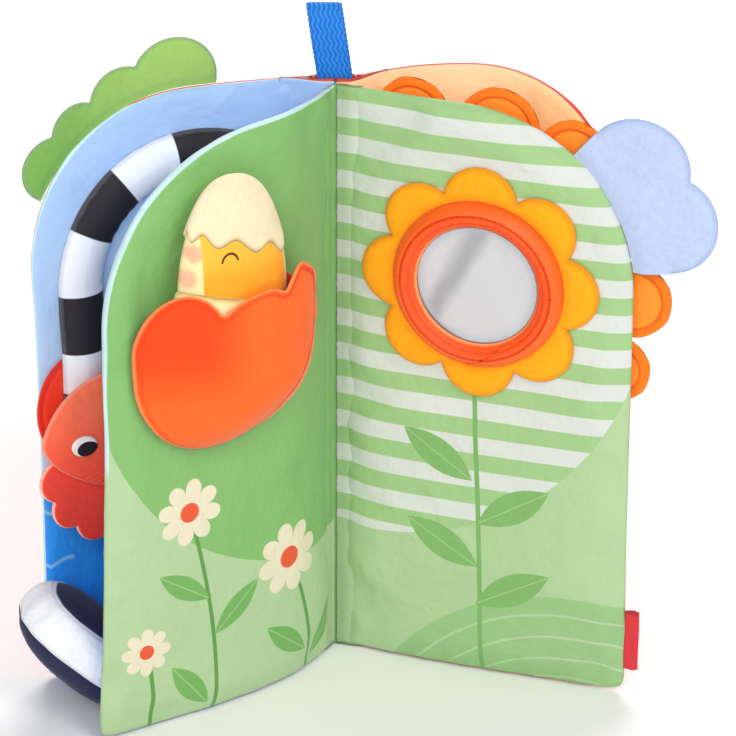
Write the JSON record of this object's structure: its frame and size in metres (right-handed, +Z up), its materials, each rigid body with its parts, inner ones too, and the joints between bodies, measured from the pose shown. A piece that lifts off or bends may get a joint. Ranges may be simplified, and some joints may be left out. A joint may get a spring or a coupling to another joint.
{
  "type": "crinkle cloth book",
  "caption": "Soft cloth book for a baby, standing open, with padded arched pages, a mirror flower, a pocket with a plush egg, felt flaps and a hanging loop.",
  "frame": {"origin": "foot of the spine on the table, in the fold between the two page leaves", "axes": "+Z up along the spine, -Y towards the reader, +X to the reader's right"},
  "size_m": [0.257, 0.1053, 0.2576],
  "materials": {
    "left_page_print": "printed satin polyester",
    "right_page_print": "printed satin polyester",
    "sky_print": "printed satin polyester",
    "peach_print": "printed satin polyester",
    "cover_print": "printed satin polyester",
    "filling": "white polyester wadding",
    "crinkle_film": "thin crackling film",
    "webbing": "ribbed polyester webbing",
    "tulip_fleece": "short pile plush",
    "egg_yellow": "short pile plush",
    "egg_cream": "short pile plush",
    "flower_felt": "short pile plush",
    "mirror": "soft plastic mirror film",
    "orange_satin": "padded satin with stitched grooves",
    "bush_felt": "soft felt",
    "cloud_fleece": "soft fleece",
    "red_tape": "woven tape",
    "sun_felt": "short pile plush",
    "striped_cloth": "black and white striped satin",
    "creature_red": "soft fleece",
    "creature_coral": "short pile plush",
    "eye_print": "printed and sewn",
    "navy_plush": "striped short pile plush"
  },
  "bodies": {
    "spine": {"page_fold_seam": "left_page_print", "spine_filler": "filling", "spine_panel": "cover_print", "webbing_loop": "webbing"},
    "left_page": {"left_page_back_cloth": "sky_print", "left_page_padding": "filling", "left_page_crinkle_film": "crinkle_film", "left_page_front_cloth": "left_page_print", "tulip_pocket_back": "tulip_fleece", "tulip_pocket_front": "tulip_fleece"},
    "egg": {"egg_body": "egg_yellow", "egg_shell_cap": "egg_cream", "egg_shell_cup": "egg_cream"},
    "right_page": {"right_page_back_cloth": "peach_print", "right_page_padding": "filling", "right_page_crinkle_film": "crinkle_film", "right_page_front_cloth": "right_page_print", "flower_felt": "flower_felt", "mirror_disc": "mirror", "mirror_ring": "orange_satin", "cloud_flap": "cloud_fleece", "edge_tab": "red_tape", "sun_petal_1": "sun_felt", "sun_petal_2": "sun_felt", "sun_petal_3": "sun_felt", "sun_petal_4": "sun_felt", "sun_petal_5": "sun_felt", "sun_petal_6": "sun_felt"},
    "left_cover": {"left_cover_back_cloth": "cover_print", "left_cover_padding": "filling", "left_cover_crinkle_film": "crinkle_film", "left_cover_front_cloth": "sky_print", "bush_flap": "bush_felt", "striped_strap": "striped_cloth", "creature_back_fin": "creature_red", "creature_skirt": "creature_red", "creature_head": "creature_coral", "creature_eye": "eye_print", "striped_roll": "navy_plush"},
    "right_cover": {"right_cover_back_cloth": "cover_print", "right_cover_padding": "filling", "right_cover_crinkle_film": "crinkle_film", "right_cover_front_cloth": "peach_print"}
  },
  "joints": [
    {"name": "left_page_hinge", "type": "hinge", "parent": "spine", "child": "left_page", "pos_m": [-0.0023, 0, 0], "axis": [0, 0, 1], "range_deg": [-14, 39], "deforming": ["striped_roll"]},
    {"name": "right_page_hinge", "type": "hinge", "parent": "spine", "child": "right_page", "pos_m": [0.0023, 0, 0], "axis": [0, 0, 1], "range_deg": [-43, 8]},
    {"name": "left_cover_hinge", "type": "hinge", "parent": "spine", "child": "left_cover", "pos_m": [-0.0085, 0.008, 0], "axis": [0, 0, 1], "range_deg": [-95, 14]},
    {"name": "right_cover_hinge", "type": "hinge", "parent": "spine", "child": "right_cover", "pos_m": [0.0085, 0.008, 0], "axis": [0, 0, 1], "range_deg": [-8, 92]},
    {"name": "egg_slide", "type": "slide", "parent": "left_page", "child": "egg", "axis": [0, 0, 1], "range_m": [0, 0.048]}
  ]
}
